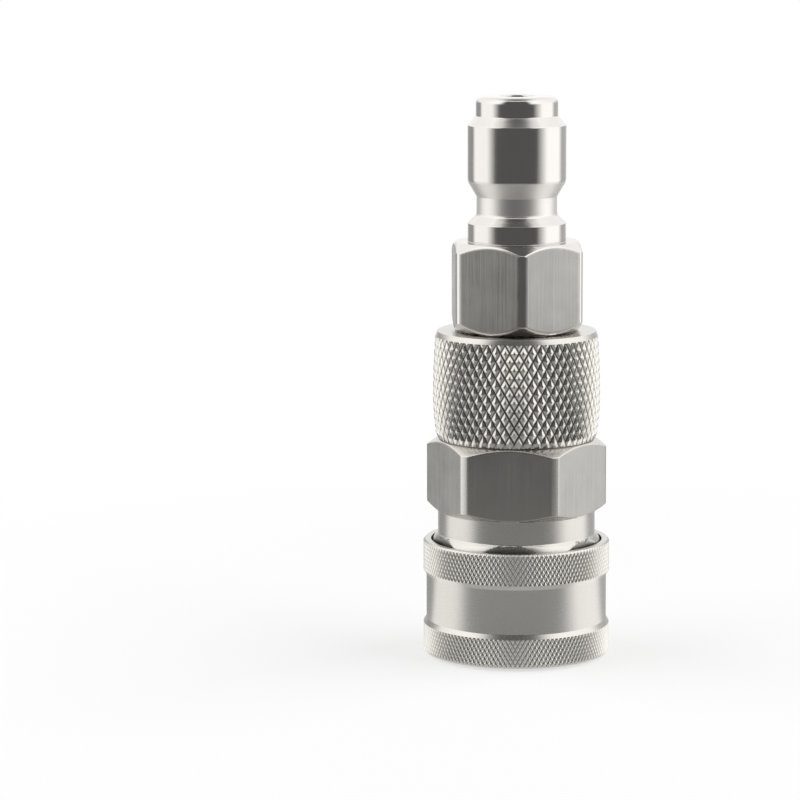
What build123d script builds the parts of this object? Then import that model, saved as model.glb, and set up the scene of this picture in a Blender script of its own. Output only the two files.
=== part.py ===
from build123d import *
import math
import os

# Swivel quick connector: a ball-lock coupler body with a release sleeve, screwed to a knurled
# nut in which a plug nipple turns on a pair of thrust washers. Lengths are millimetres, angles
# are degrees. The axis is +Z, and the origin is the centre of the body's nose face, on which
# the part stands.

# Gaps between pieces that move on each other, and between pieces that only lie side by side
sliding_gap = 0.08
turning_gap = 0.1
loose_gap = 0.25
seat_gap = 0.04
thread_gap = 0.05

# Plug end of the nipple, from its tip down
tip_radius = 7.18
tip_length = 3.42
tip_rounding = 1.2
tip_cone_height = 1.6
plug_radius = 8.62
plug_length = 9.58
flank_height = 2.74
lock_groove_radius = 7.0
lock_groove_width = 3.11
bevel_height = 1.52
collar_radius = 8.6
collar_length = 3.13
passage_radius = 3.0
passage_chamfer = 0.2

# Upper hexagon of the nipple, milled from hexagonal bar
upper_hex_across_flats = 22.0
upper_hex_corner_radius = 12.4
upper_hex_top_face_radius = 10.6
upper_hex_foot_face_radius = 10.74
upper_hex_top_chamfer = 1.54
upper_hex_land = 12.2
upper_hex_foot_chamfer = 1.66
upper_hex_turn = -20.7

# Stem and spigot of the nipple, below the upper hexagon
stem_radius = 7.5
stem_tail = 2.0
stem_tail_chamfer = 0.4
spigot_radius = 7.0
spigot_chamfer = 0.5

# Swivel nut
nut_height = 18.85
nut_crown_radius = 14.6
nut_crown_height = 7.5
nut_top_radius = 14.2
nut_foot_radius = 14.15
nut_chamfer_width = 0.35
nut_chamfer_height = 0.9
nut_roof = 7.4
nut_cavity_gap = 0.15
nut_shank_radius = 11.8
nut_shank_length = 4.9
nut_shank_chamfer = 0.6
nut_mouth_chamfer = 0.5

# Diamond knurl of the nut: points with four sides, in rows that are offset by half a point
nut_knurl_points = 56
nut_knurl_rows = 12
nut_knurl_depth = 0.34

# Thrust washers that carry the pull between the nipple and the nut, and the ring below them
thrust_washer_thickness = 1.6
support_washer_thickness = 1.8
washer_width = 2.45
stem_ring_thickness = 1.2
stem_ring_width = 2.75
stem_ring_opening = 3.0
stem_groove_depth = 0.9

# Coupler body: socket bore and nose, with the room that they leave round an inserted plug
plug_gap = 0.13
plug_stand_off = 0.7
plug_shoulder_gap = 0.22
plug_tip_gap = 0.22
plug_end_gap = 0.5
entry_bore_relief = 0.2
entry_bore_tail = 0.95
mouth_chamfer = 0.8
nose_wall = 2.85
nose_chamfer = 0.4
web_thickness = 1.6
spigot_bore_depth = 7.0

# Coupler body: outside, from the flange up to the hexagon's top face
flange_foot = 18.7
flange_width = 2.95
flare_radius = 2.8
flare_width = 0.95
neck_start = 21.7
lower_hex_across_flats = 28.0
lower_hex_corner_radius = 15.76
lower_hex_foot = 25.67
lower_hex_foot_chamfer = 1.23
lower_hex_land = 10.15
lower_hex_top_chamfer = 1.45
lower_hex_top_face_radius = 13.44

# Lock balls, and the hardened sleeve that holds them in
lock_ball_radius = 2.25
lock_ball_count = 8
lock_ball_lead = 0.495
lock_ball_groove_gap = 0.55
lock_ball_hole_gap = 0.05
lock_ball_seat_angle = 18.0
locking_angle = 15.0

# Release sleeve
sleeve_recess = 0.5
sleeve_height = 20.0
sleeve_wall = 0.83
band_step = 0.52
lower_band_height = 5.1
upper_band_height = 5.45
band_shoulder = 0.8
band_edge_chamfer = 0.35
sleeve_land_height = 6.75

# Snap ring that stops the sleeve at the nose
snap_ring_lip = 1.2
snap_ring_thickness = 0.95
snap_ring_width = 2.85
snap_groove_depth = 0.9
snap_ring_opening = 3.0
snap_ring_room = 0.71

# Sleeve spring
spring_wire = 1.2
spring_turns = 3.25

# Seals, whose round sections are drawn with a few flats
seal_section_flats = 8
socket_seal_section = 1.9
socket_seal_lip = 0.3
stem_seal_section = 1.9
stem_backup_thickness = 0.8
stem_seal_height = 4.0
dust_seal_section = 1.5
dust_seal_depth = 2.2
seal_groove_gap = 0.1
seal_squeeze_gap = 0.05
socket_seal_squeeze = 0.1

# Heights of the body, the nut and the nipple, worked out from the sizes above
plug_groove_foot = collar_length - plug_stand_off + bevel_height
plug_reach = plug_groove_foot + lock_groove_width + flank_height + plug_length
guide_bore_end = plug_reach + plug_shoulder_gap
tip_bore_end = plug_reach + tip_cone_height + tip_length + plug_end_gap
spigot_floor = tip_bore_end + web_thickness
nut_counterbore_floor = spigot_floor + spigot_bore_depth
lower_hex_top = lower_hex_foot + lower_hex_foot_chamfer + lower_hex_land + lower_hex_top_chamfer
nut_top = lower_hex_top + nut_height
nut_ceiling = nut_top - nut_roof
upper_hex_foot = nut_top + loose_gap
upper_hex_land_foot = upper_hex_foot + upper_hex_foot_chamfer
upper_hex_land_top = upper_hex_land_foot + upper_hex_land
upper_hex_top = upper_hex_land_top + upper_hex_top_chamfer
collar_top = upper_hex_top + collar_length
groove_foot = collar_top + bevel_height
groove_top = groove_foot + lock_groove_width
plug_foot = groove_top + flank_height
plug_top = plug_foot + plug_length
tip_foot = plug_top + tip_cone_height
tip_top = tip_foot + tip_length

# Thrust washers, from the nut's ceiling down to the ring that holds them on the stem
thrust_washer_foot = nut_ceiling - thrust_washer_thickness
support_washer_top = thrust_washer_foot - seat_gap
stem_ring_top = support_washer_top - support_washer_thickness
stem_ring_foot = stem_ring_top - stem_ring_thickness
stem_foot = stem_ring_foot - stem_tail
washer_bore = stem_radius + turning_gap
washer_radius = washer_bore + washer_width
nut_cavity_radius = washer_radius + nut_cavity_gap

# Radii of the socket, the sleeve and the spring, from the plug outwards
tip_bore_radius = tip_radius + plug_tip_gap
guide_bore_radius = plug_radius + plug_gap
entry_bore_radius = guide_bore_radius + entry_bore_relief
mouth_radius = entry_bore_radius + mouth_chamfer
nose_radius = entry_bore_radius + nose_wall
flange_radius = nose_radius + flange_width
neck_radius = flange_radius - flare_width
sleeve_land_radius = nose_radius + sliding_gap
sleeve_pocket_radius = flange_radius + loose_gap
waist_radius = sleeve_pocket_radius + sleeve_wall
band_radius = waist_radius + band_step
spring_radius = (nose_radius + sleeve_pocket_radius) / 2
snap_ring_bore = nose_radius - snap_groove_depth + seat_gap
snap_ring_radius = snap_ring_bore + snap_ring_width
sleeve_foot_radius = snap_ring_radius + snap_ring_room

# Ball lock: the balls reach into the plug's groove and lean on the sleeve's cone
cone_angle = math.radians(locking_angle)
lock_ball_height = plug_groove_foot + lock_groove_width / 2 + lock_ball_lead
lock_ball_place = lock_groove_radius + lock_ball_groove_gap + lock_ball_radius
entry_bore_end = lock_ball_height + lock_ball_radius + entry_bore_tail
cone_touch_radius = lock_ball_place + lock_ball_radius * math.cos(cone_angle) + seat_gap
cone_touch_height = lock_ball_height + lock_ball_radius * math.sin(cone_angle)
sleeve_ledge = snap_ring_lip + snap_ring_thickness + turning_gap
sleeve_land_top = sleeve_ledge + sleeve_land_height
sleeve_top = sleeve_recess + sleeve_height
cone_foot_radius = cone_touch_radius + (cone_touch_height - sleeve_ledge) * math.tan(cone_angle)
cone_top = cone_touch_height + (cone_touch_radius - sleeve_land_radius) / math.tan(cone_angle)


def turned(*points):
    """One turned solid: the closed profile of (radius, height) points, revolved about the axis."""
    profile = Polyline(*[(r, 0, z) for r, z in points], close=True)
    return revolve(make_face(profile), Axis.Z)


def ring(inner, outer, foot, top):
    return turned((inner, foot), (outer, foot), (outer, top), (inner, top))


def o_ring(centre_radius, section, height):
    """A seal that lies level about the axis, with one flat of its section on each side."""
    turn = 180 / seal_section_flats
    flats = RegularPolygon(section / 2, seal_section_flats, major_radius=False, rotation=turn)
    return revolve(Plane.XZ * Pos(centre_radius, height) * flats, Axis.Z)


def hex_bar(across_flats, foot, top, turn=0.0):
    """Hexagonal bar along the axis. With no turn, one flat faces the front (-Y)."""
    section = RegularPolygon(across_flats / 2, 6, major_radius=False, rotation=turn)
    return Pos(0, 0, foot) * extrude(section, top - foot)


def around(count, radius, height, shape):
    """Copies of a shape at equal angles on a circle, the first one on +X."""
    return [Rot(0, 0, i * 360 / count) * Pos(radius, 0, height) * shape for i in range(count)]


def split_ring(inner, outer, foot, top, opening):
    """A snap ring: a flat ring, open for a short stretch at the back."""
    gap = Pos(0, (inner + outer) / 2, (foot + top) / 2) * Box(opening, outer, 2 * (top - foot))
    return ring(inner, outer, foot, top) - gap


def plug_nipple():
    """Plug, upper hexagon, stem and swivel spigot, turned in one piece and drilled through."""
    edge = tip_radius - tip_rounding
    outside = [
        Line((0, upper_hex_foot), (0, tip_top)),
        Line((0, tip_top), (edge, tip_top)),
        RadiusArc((edge, tip_top), (tip_radius, tip_top - tip_rounding), tip_rounding),
        Polyline(
            (tip_radius, tip_top - tip_rounding),
            (tip_radius, tip_foot),
            (plug_radius, plug_top),
            (plug_radius, plug_foot),
            (lock_groove_radius, groove_top),
            (lock_groove_radius, groove_foot),
            (collar_radius, collar_top),
            (collar_radius, upper_hex_top),
            (upper_hex_top_face_radius, upper_hex_top),
            (upper_hex_corner_radius, upper_hex_land_top),
            (upper_hex_corner_radius, upper_hex_land_foot),
            (upper_hex_foot_face_radius, upper_hex_foot),
            (0, upper_hex_foot),
        ),
    ]
    blank = revolve(Plane.XZ * make_face(outside), Axis.Z)
    blank &= hex_bar(upper_hex_across_flats, upper_hex_foot, tip_top, upper_hex_turn)
    groove_floor = stem_radius - stem_groove_depth
    ring_groove_foot = stem_ring_foot - turning_gap
    spigot_foot = spigot_floor + loose_gap
    seal_foot, seal_top = stem_seal_groove()
    seal_floor = stem_seal_floor()
    stem = turned(
        (0, upper_hex_foot),
        (stem_radius, upper_hex_foot),
        (stem_radius, stem_ring_top),
        (groove_floor, stem_ring_top),
        (groove_floor, ring_groove_foot),
        (stem_radius, ring_groove_foot),
        (stem_radius, stem_foot + stem_tail_chamfer),
        (spigot_radius, stem_foot),
        (spigot_radius, seal_top),
        (seal_floor, seal_top),
        (seal_floor, seal_foot),
        (spigot_radius, seal_foot),
        (spigot_radius, spigot_foot + spigot_chamfer),
        (spigot_radius - spigot_chamfer, spigot_foot),
        (0, spigot_foot),
    )
    mouth = passage_radius + passage_chamfer
    passage = turned(
        (0, spigot_foot),
        (mouth, spigot_foot),
        (passage_radius, spigot_foot + passage_chamfer),
        (passage_radius, tip_top - passage_chamfer),
        (mouth, tip_top),
        (0, tip_top),
    )
    return blank + stem - passage


def stem_seal_groove():
    """Foot and top of the spigot's seal groove: the O-ring between its two backup rings."""
    half = (stem_seal_section + seal_groove_gap) / 2 + stem_backup_thickness
    centre = spigot_floor + stem_seal_height
    return centre - half, centre + half


def stem_seal_floor():
    return spigot_radius - stem_seal_section + seal_groove_gap


def stem_seals():
    """The spigot's O-ring and the two flat backup rings beside it."""
    seal_foot, seal_top = stem_seal_groove()
    bore = spigot_radius + sliding_gap
    centre_radius = (stem_seal_floor() + bore) / 2
    squeezed = bore - stem_seal_floor() - seal_squeeze_gap
    seal = o_ring(centre_radius, squeezed, (seal_foot + seal_top) / 2)
    inner = stem_seal_floor() + seal_squeeze_gap
    lower = ring(inner, spigot_radius, seal_foot, seal_foot + stem_backup_thickness)
    upper = ring(inner, spigot_radius, seal_top - stem_backup_thickness, seal_top)
    return seal, lower, upper


def nut_crown(height):
    """Radius of the knurl's points at a height: largest at the crown, less towards both ends."""
    crown = lower_hex_top + nut_crown_height
    if height > crown:
        away = (height - crown) / (nut_top - nut_chamfer_height - crown)
        return nut_crown_radius - (nut_crown_radius - nut_top_radius) * away**2
    away = (crown - height) / (crown - lower_hex_top - nut_chamfer_height)
    return nut_crown_radius - (nut_crown_radius - nut_foot_radius) * away**2


def knurled_blank():
    """Solid blank of the nut, with a groove along one diagonal of every cell of a fine grid."""
    count = 2 * nut_knurl_points
    foot = lower_hex_top + nut_chamfer_height
    row = (nut_top - nut_chamfer_height - foot) / nut_knurl_rows

    def level(radii, height):
        turns = [2 * math.pi * i / count for i in range(count)]
        return [(r * math.cos(t), r * math.sin(t), height) for r, t in zip(radii, turns)]

    levels = [level([nut_foot_radius - nut_chamfer_width] * count, lower_hex_top)]
    for k in range(nut_knurl_rows + 1):
        point = nut_crown(foot + row * k)
        groove = point - nut_knurl_depth
        radii = [groove if (i + k) % 2 else point for i in range(count)]
        levels.append(level(radii, foot + row * k))
    levels.append(level([nut_top_radius - nut_chamfer_width] * count, nut_top))
    cells = []
    for k, (low, high) in enumerate(zip(levels, levels[1:])):
        for i in range(count):
            j = (i + 1) % count
            if (i + k) % 2:
                cells += [(low[i], low[j], high[i]), (low[j], high[j], high[i])]
            else:
                cells += [(low[i], low[j], high[j]), (low[i], high[j], high[i])]
    outlines = [levels[0], levels[-1], *cells]
    return Solid(Shell([Face(Wire.make_polygon(points, close=True)) for points in outlines]))


def swivel_nut():
    """Crowned nut whose shank screws into the body and whose roof takes the nipple's pull."""
    bore = stem_radius + turning_gap
    mouth = bore + nut_mouth_chamfer
    shank_foot = lower_hex_top - nut_shank_length
    shank = turned(
        (nut_cavity_radius, shank_foot),
        (nut_shank_radius - nut_shank_chamfer, shank_foot),
        (nut_shank_radius, shank_foot + nut_shank_chamfer),
        (nut_shank_radius, lower_hex_top),
        (nut_cavity_radius, lower_hex_top),
    )
    cavity = turned(
        (0, lower_hex_top),
        (nut_cavity_radius, lower_hex_top),
        (nut_cavity_radius, nut_ceiling),
        (bore, nut_ceiling),
        (bore, nut_top - nut_mouth_chamfer),
        (mouth, nut_top),
        (0, nut_top),
    )
    half = (dust_seal_section + seal_groove_gap) / 2
    centre = nut_top - dust_seal_depth
    seal_groove = ring(stem_radius, bore + dust_seal_section, centre - half, centre + half)
    return knurled_blank() - cavity - seal_groove + shank


def dust_seal():
    """Small O-ring in the nut's roof that keeps grit off the thrust washers."""
    inner = stem_radius + seal_squeeze_gap
    return o_ring(inner + dust_seal_section / 2, dust_seal_section, nut_top - dust_seal_depth)


def thrust_washer():
    """Acetal washer under the nut's roof, on which the nipple turns."""
    return ring(washer_bore, washer_radius, thrust_washer_foot, nut_ceiling)


def support_washer():
    """Steel washer that spreads the pull of the stem's ring over the acetal one."""
    return ring(washer_bore, washer_radius, stem_ring_top, support_washer_top)


def stem_retaining_ring():
    """Snap ring in the stem's groove, which carries the support washer."""
    inner = stem_radius - stem_groove_depth + seat_gap
    return split_ring(inner, inner + stem_ring_width, stem_ring_foot, stem_ring_top, stem_ring_opening)


def socket_seal_groove():
    """Foot and top of the groove of the seal that closes on an inserted plug's tip."""
    foot = tip_bore_start() + socket_seal_lip
    return foot, foot + socket_seal_section + seal_groove_gap


def socket_seal_inner_radius():
    return tip_radius - socket_seal_squeeze


def tip_bore_start():
    return guide_bore_end + guide_bore_radius - tip_bore_radius


def coupler_body():
    """Socket, flared flange, neck and hexagon, turned in one piece from hexagonal bar."""
    flare_foot = neck_start - math.sqrt(2 * flare_radius * flare_width - flare_width**2)
    land_foot = lower_hex_foot + lower_hex_foot_chamfer
    groove_floor = nose_radius - snap_groove_depth
    outside = [
        Polyline(
            (0, 0),
            (nose_radius - nose_chamfer, 0),
            (nose_radius, nose_chamfer),
            (nose_radius, snap_ring_lip),
            (groove_floor, snap_ring_lip),
            (groove_floor, sleeve_ledge),
            (nose_radius, sleeve_ledge),
            (nose_radius, flange_foot),
            (flange_radius, flange_foot),
            (flange_radius, flare_foot),
        ),
        RadiusArc((flange_radius, flare_foot), (neck_radius, neck_start), flare_radius),
        Polyline(
            (neck_radius, neck_start),
            (neck_radius, lower_hex_foot),
            (lower_hex_corner_radius, land_foot),
            (lower_hex_corner_radius, land_foot + lower_hex_land),
            (lower_hex_top_face_radius, lower_hex_top),
            (0, lower_hex_top),
            (0, 0),
        ),
    ]
    blank = revolve(Plane.XZ * make_face(outside), Axis.Z)
    blank &= hex_bar(lower_hex_across_flats, 0, lower_hex_top)
    return blank - socket_bore() - swivel_bore() - lock_ball_holes()


def socket_bore():
    """Stepped bore that takes the plug, with the groove for its seal and the water passage."""
    seal_foot, seal_top = socket_seal_groove()
    seal_floor = socket_seal_inner_radius() + socket_seal_section + seat_gap
    return turned(
        (0, 0),
        (mouth_radius, 0),
        (entry_bore_radius, mouth_chamfer),
        (entry_bore_radius, entry_bore_end),
        (guide_bore_radius, entry_bore_end + entry_bore_relief),
        (guide_bore_radius, guide_bore_end),
        (tip_bore_radius, tip_bore_start()),
        (tip_bore_radius, seal_foot),
        (seal_floor, seal_foot),
        (seal_floor, seal_top),
        (tip_bore_radius, seal_top),
        (tip_bore_radius, tip_bore_end),
        (passage_radius, tip_bore_end),
        (passage_radius, spigot_floor),
        (0, spigot_floor),
    )


def swivel_bore():
    """Bore for the nipple's spigot, and the wider one into which the nut's shank screws."""
    bore = spigot_radius + sliding_gap
    counterbore = nut_shank_radius + thread_gap
    return turned(
        (0, spigot_floor),
        (bore, spigot_floor),
        (bore, nut_counterbore_floor),
        (counterbore, nut_counterbore_floor),
        (counterbore, lower_hex_top),
        (0, lower_hex_top),
    )


def lock_ball_holes():
    """Radial holes whose inner end is a cone that the ball can't pass into the bore."""
    hole_radius = lock_ball_radius + lock_ball_hole_gap
    half_angle = math.radians(lock_ball_seat_angle)
    apex = lock_ball_place - (lock_ball_radius + seat_gap) / math.sin(half_angle)
    cone_end = apex + hole_radius / math.tan(half_angle)
    outer_end = nose_radius + loose_gap
    profile = Polyline(
        (apex, 0),
        (cone_end, hole_radius),
        (outer_end, hole_radius),
        (outer_end, 0),
        close=True,
    )
    hole = revolve(make_face(profile), Axis.X)
    return around(lock_ball_count, 0, lock_ball_height, hole)


def socket_seal():
    seal_foot, seal_top = socket_seal_groove()
    centre_radius = socket_seal_inner_radius() + socket_seal_section / 2
    return o_ring(centre_radius, socket_seal_section, (seal_foot + seal_top) / 2)


def snap_ring():
    top = snap_ring_lip + snap_ring_thickness
    return split_ring(snap_ring_bore, snap_ring_radius, snap_ring_lip, top, snap_ring_opening)


def release_sleeve():
    """Sleeve with two bands for the fingers; its inner cone holds the lock balls in."""
    lower_band_top = sleeve_recess + lower_band_height
    upper_band_foot = sleeve_top - upper_band_height
    return turned(
        (sleeve_foot_radius, sleeve_recess),
        (band_radius - band_edge_chamfer, sleeve_recess),
        (band_radius, sleeve_recess + band_edge_chamfer),
        (band_radius, lower_band_top),
        (waist_radius, lower_band_top + band_shoulder),
        (waist_radius, upper_band_foot - band_shoulder),
        (band_radius, upper_band_foot),
        (band_radius, sleeve_top - band_edge_chamfer),
        (band_radius - band_edge_chamfer, sleeve_top),
        (sleeve_pocket_radius, sleeve_top),
        (sleeve_pocket_radius, sleeve_land_top),
        (sleeve_land_radius, sleeve_land_top),
        (sleeve_land_radius, cone_top),
        (cone_foot_radius, sleeve_ledge),
        (sleeve_foot_radius, sleeve_ledge),
    )


def sleeve_spring():
    """Open coil of square wire between the sleeve's land and the body's flange."""
    foot = sleeve_land_top + spring_wire / 2 + seat_gap
    rise = flange_foot - spring_wire / 2 - seat_gap - foot
    path = Pos(0, 0, foot) * Helix(rise / spring_turns, rise, spring_radius)
    start = Plane(origin=path @ 0, x_dir=(1, 0, 0), z_dir=path % 0)
    return sweep(start * Rectangle(spring_wire, spring_wire), path, is_frenet=True)


def lock_balls():
    return around(lock_ball_count, lock_ball_place, lock_ball_height, Sphere(lock_ball_radius))


stem_o_ring, stem_backup_lower, stem_backup_upper = stem_seals()
nodes = {
    "coupler_body": coupler_body(),
    "socket_o_ring": socket_seal(),
    "sleeve_snap_ring": snap_ring(),
    "release_sleeve": release_sleeve(),
    "sleeve_spring": sleeve_spring(),
    "swivel_nut": swivel_nut(),
    "dust_seal": dust_seal(),
    "thrust_washer": thrust_washer(),
    "support_washer": support_washer(),
    "stem_retaining_ring": stem_retaining_ring(),
    "plug_nipple": plug_nipple(),
    "stem_o_ring": stem_o_ring,
    "stem_backup_ring_lower": stem_backup_lower,
    "stem_backup_ring_upper": stem_backup_upper,
}
for number, ball in enumerate(lock_balls(), start=1):
    nodes[f"lock_ball_{number}"] = ball

os.makedirs("parts", exist_ok=True)
for name, solid in nodes.items():
    export_step(solid, f"parts/{name}.step")
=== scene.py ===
import math
import bmesh
import bpy
from mathutils import Matrix, Vector


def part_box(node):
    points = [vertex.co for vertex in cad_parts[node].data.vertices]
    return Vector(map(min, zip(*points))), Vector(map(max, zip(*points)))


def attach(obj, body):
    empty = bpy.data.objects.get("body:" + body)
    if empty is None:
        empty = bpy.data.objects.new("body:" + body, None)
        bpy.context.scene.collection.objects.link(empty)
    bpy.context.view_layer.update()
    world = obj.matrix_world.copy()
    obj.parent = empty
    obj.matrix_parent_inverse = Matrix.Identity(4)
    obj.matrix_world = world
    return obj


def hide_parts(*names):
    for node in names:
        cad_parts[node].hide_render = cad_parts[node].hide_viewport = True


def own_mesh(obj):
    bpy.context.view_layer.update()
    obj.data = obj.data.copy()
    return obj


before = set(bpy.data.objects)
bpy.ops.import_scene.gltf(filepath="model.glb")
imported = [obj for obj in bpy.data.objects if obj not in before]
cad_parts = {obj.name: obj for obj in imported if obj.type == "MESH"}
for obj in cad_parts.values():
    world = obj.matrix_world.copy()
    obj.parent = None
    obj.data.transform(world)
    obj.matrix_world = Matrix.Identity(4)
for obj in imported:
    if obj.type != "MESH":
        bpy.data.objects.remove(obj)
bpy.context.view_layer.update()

# Camera: a long lens a little above the object and 4.7 degrees round to its right, from 0.57 m.
# It points slightly left of the axis, so that the connector stands right of the middle.
mm = 0.001
camera_turn = math.radians(4.7)
camera_reach = 565.6 * mm
camera_height = 131.1 * mm
camera_aim = 6.767
camera_dip = 8.658
camera_roll = -0.21
lens_pixels = 3264
picture_pixels = 800
sensor_width = 36
camera = bpy.data.objects.new("camera", bpy.data.cameras.new("camera"))
bpy.context.scene.collection.objects.link(camera)
camera.data.sensor_width = sensor_width
camera.data.lens = lens_pixels / picture_pixels * sensor_width
camera.location = (
    camera_reach * math.sin(camera_turn),
    -camera_reach * math.cos(camera_turn),
    camera_height,
)
aim = Matrix.Rotation(math.radians(camera_aim), 3, "Z")
tilt = Matrix.Rotation(math.radians(90 - camera_dip), 3, "X")
roll = Matrix.Rotation(math.radians(camera_roll), 3, "Z")
camera.rotation_euler = (aim @ tilt @ roll).to_euler()
bpy.context.scene.camera = camera

# Coupler body: one turned piece of stainless hexagonal bar, with the socket's stepped bore, the
# flared flange that stops the sleeve, the neck and the wrench hexagon. Eight tapered holes in
# its nose hold the lock balls. Sizes are in mm up to the studio, whose lengths are in metres.
nose_radius = 11.8
nose_chamfer = 0.4
snap_groove_floor = 10.9
snap_groove_foot = 1.2
snap_groove_top = 2.25
flange_radius = 14.75
flange_foot = 18.7
flare_foot = 19.598
flare_radius = 2.8
flare_end = 48.64
flare_steps = 8
neck_radius = 13.8
hex_foot = 25.67
hex_land_foot = 26.9
hex_land_top = 37.05
hex_top = 38.5
hex_corner_radius = 15.76
hex_top_face_radius = 13.44
nut_bore = 11.85
nut_bore_floor = 33.5
spigot_bore = 7.08
spigot_floor = 26.5
passage_radius = 3.0
tip_bore = 7.4
tip_bore_foot = 20.95
tip_bore_end = 24.9
socket_seal_floor = 9.02
socket_seal_foot = 21.25
socket_seal_top = 23.25
guide_bore = 8.75
guide_foot = 9.4
guide_end = 19.6
entry_bore = 8.95
entry_end = 9.2
mouth_radius = 9.75
mouth_depth = 0.8
body_flat_reach = 14.0
body_flat_turn = -90
ball_count = 8
ball_height = 6.0
ball_seat_apex = 2.389
ball_seat_end = 9.468
ball_hole_radius = 2.3
ball_hole_end = 12.5
drill_sides = 32

flare = [
    (flange_radius - flare_radius * (1 - math.cos(a)), flare_foot + flare_radius * math.sin(a))
    for a in (math.radians(flare_end * i / flare_steps) for i in range(flare_steps + 1))
]
body_profile = [
    (mouth_radius, 0),
    (nose_radius - nose_chamfer, 0),
    (nose_radius, nose_chamfer),
    (nose_radius, snap_groove_foot),
    (snap_groove_floor, snap_groove_foot),
    (snap_groove_floor, snap_groove_top),
    (nose_radius, snap_groove_top),
    (nose_radius, flange_foot),
    (flange_radius, flange_foot),
    *flare,
    (neck_radius, hex_foot),
    (hex_corner_radius, hex_land_foot),
    (hex_corner_radius, hex_land_top),
    (hex_top_face_radius, hex_top),
    (nut_bore, hex_top),
    (nut_bore, nut_bore_floor),
    (spigot_bore, nut_bore_floor),
    (spigot_bore, spigot_floor),
    (passage_radius, spigot_floor),
    (passage_radius, tip_bore_end),
    (tip_bore, tip_bore_end),
    (tip_bore, socket_seal_top),
    (socket_seal_floor, socket_seal_top),
    (socket_seal_floor, socket_seal_foot),
    (tip_bore, socket_seal_foot),
    (tip_bore, tip_bore_foot),
    (guide_bore, guide_end),
    (guide_bore, guide_foot),
    (entry_bore, entry_end),
    (entry_bore, mouth_depth),
]
# The lathe's columns are spread so that one stands at each end of a flat, where it meets the
# turned corner. Each pair is where a stretch ends, in degrees from the flat's middle, and the
# columns in it.
body_columns = [(-18.31, 0), (18.31, 16), (27.33, 4), (32.67, 2), (41.69, 4)]
# A sixth of a turn in degrees, and the distance within which two places count as one
sixth = 60
hair = 1e-4


def linear(code):
    """An sRGB hex colour as the linear values that the shaders take."""
    parts = [int(code[i : i + 2], 16) / 255 for i in (1, 3, 5)]
    return [p / 12.92 if p <= 0.04045 else ((p + 0.055) / 1.055) ** 2.4 for p in parts] + [1.0]


def add(tree, kind, inputs=(), **settings):
    """Adds a node, with its settings, and sets or links the inputs that are named or numbered."""
    node = tree.nodes.new(kind)
    for name, value in settings.items():
        setattr(node, name, value)
    for name, value in dict(inputs).items():
        socket = node.inputs[name]
        if isinstance(value, bpy.types.NodeSocket):
            tree.links.new(value, socket)
        else:
            socket.default_value = value
    return node


def finish(name, base, **settings):
    """A new material with its shader's constants set."""
    made = bpy.data.materials.new(name)
    made.use_nodes = True
    shader = made.node_tree.nodes["Principled BSDF"]
    shader.inputs["Base Color"].default_value = linear(base)
    for socket, value in settings.items():
        shader.inputs[socket.replace("_", " ")].default_value = value
    return made


def marked(made, spacing, across, strength, wear):
    """Fine marks in a surface, and uneven gloss. The marks' spacing is in mm; across is 'turned'
    for rings round the axis, 'drawn' for lines along it and 'even' for grain with no direction.
    Wear is how far the roughness wanders over the surface, in patches of a few mm."""
    drawn_out = 0.02
    patch_size = 4
    glossiest, dullest = 0.1, 0.45
    tree = made.node_tree
    shader = tree.nodes["Principled BSDF"]
    place = add(tree, "ShaderNodeTexCoord").outputs["Object"]
    line = place
    if across == "turned":
        flat = add(tree, "ShaderNodeVectorMath", {0: place, 1: (1, 1, 0)}, operation="MULTIPLY")
        far = add(tree, "ShaderNodeVectorMath", {0: flat.outputs[0]}, operation="LENGTH")
        height = add(tree, "ShaderNodeSeparateXYZ", {0: place}).outputs[2]
        line = add(tree, "ShaderNodeCombineXYZ", {0: far.outputs["Value"], 2: height}).outputs[0]
    stretch = (1, 1, drawn_out) if across == "drawn" else (1, 1, 1)
    mapped = add(tree, "ShaderNodeMapping", {0: line, "Scale": stretch}).outputs[0]
    fine = {"Vector": mapped, "Scale": 1 / (spacing * mm), "Detail": 3.0}
    marks = add(tree, "ShaderNodeTexNoise", fine).outputs[0]
    raised = {"Height": marks, "Strength": strength, "Distance": spacing * mm}
    bump = add(tree, "ShaderNodeBump", raised).outputs[0]
    tree.links.new(bump, shader.inputs["Normal"])
    broad = {"Vector": place, "Scale": 1 / (patch_size * mm), "Detail": 4.0}
    patches = add(tree, "ShaderNodeTexNoise", broad).outputs[0]
    both = add(tree, "ShaderNodeMath", {0: patches, 1: marks}, operation="MULTIPLY").outputs[0]
    base = shader.inputs["Roughness"].default_value
    spread = {0: both, 1: glossiest, 2: dullest, 3: base - wear, 4: base + wear}
    gloss = add(tree, "ShaderNodeMapRange", spread).outputs[0]
    tree.links.new(gloss, shader.inputs["Roughness"])
    return made


def columns(stretches, turn):
    """Angles of a lathe's columns in degrees, once round from that turn. The stretches repeat
    every sixth of a turn; the first one only says where they start."""
    angles = []
    for number in range(6):
        start = stretches[0][0]
        for end, count in stretches[1:]:
            first = number * sixth + start
            angles += [first + (end - start) * i / count + turn for i in range(count)]
            start = end
    return angles


def clipped(profile, reach):
    """The profile where a flat cuts it at that radius. Points beyond it are spread over the cut."""
    points = list(profile)
    count = len(points)
    k = 0
    while k < count:
        if points[k][0] <= reach:
            k += 1
            continue
        first = k
        while profile[k % count][0] > reach:
            k += 1
        (r0, z0), (r1, z1) = profile[first - 1], profile[first]
        entry = z0 + (z1 - z0) * (reach - r0) / (r1 - r0)
        (r0, z0), (r1, z1) = profile[k - 1], profile[k % count]
        leave = z0 + (z1 - z0) * (reach - r0) / (r1 - r0)
        for i in range(first, k):
            share = (i - first) / max(1, k - 1 - first)
            points[i] = (reach, entry + (leave - entry) * share)
    return points


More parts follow.
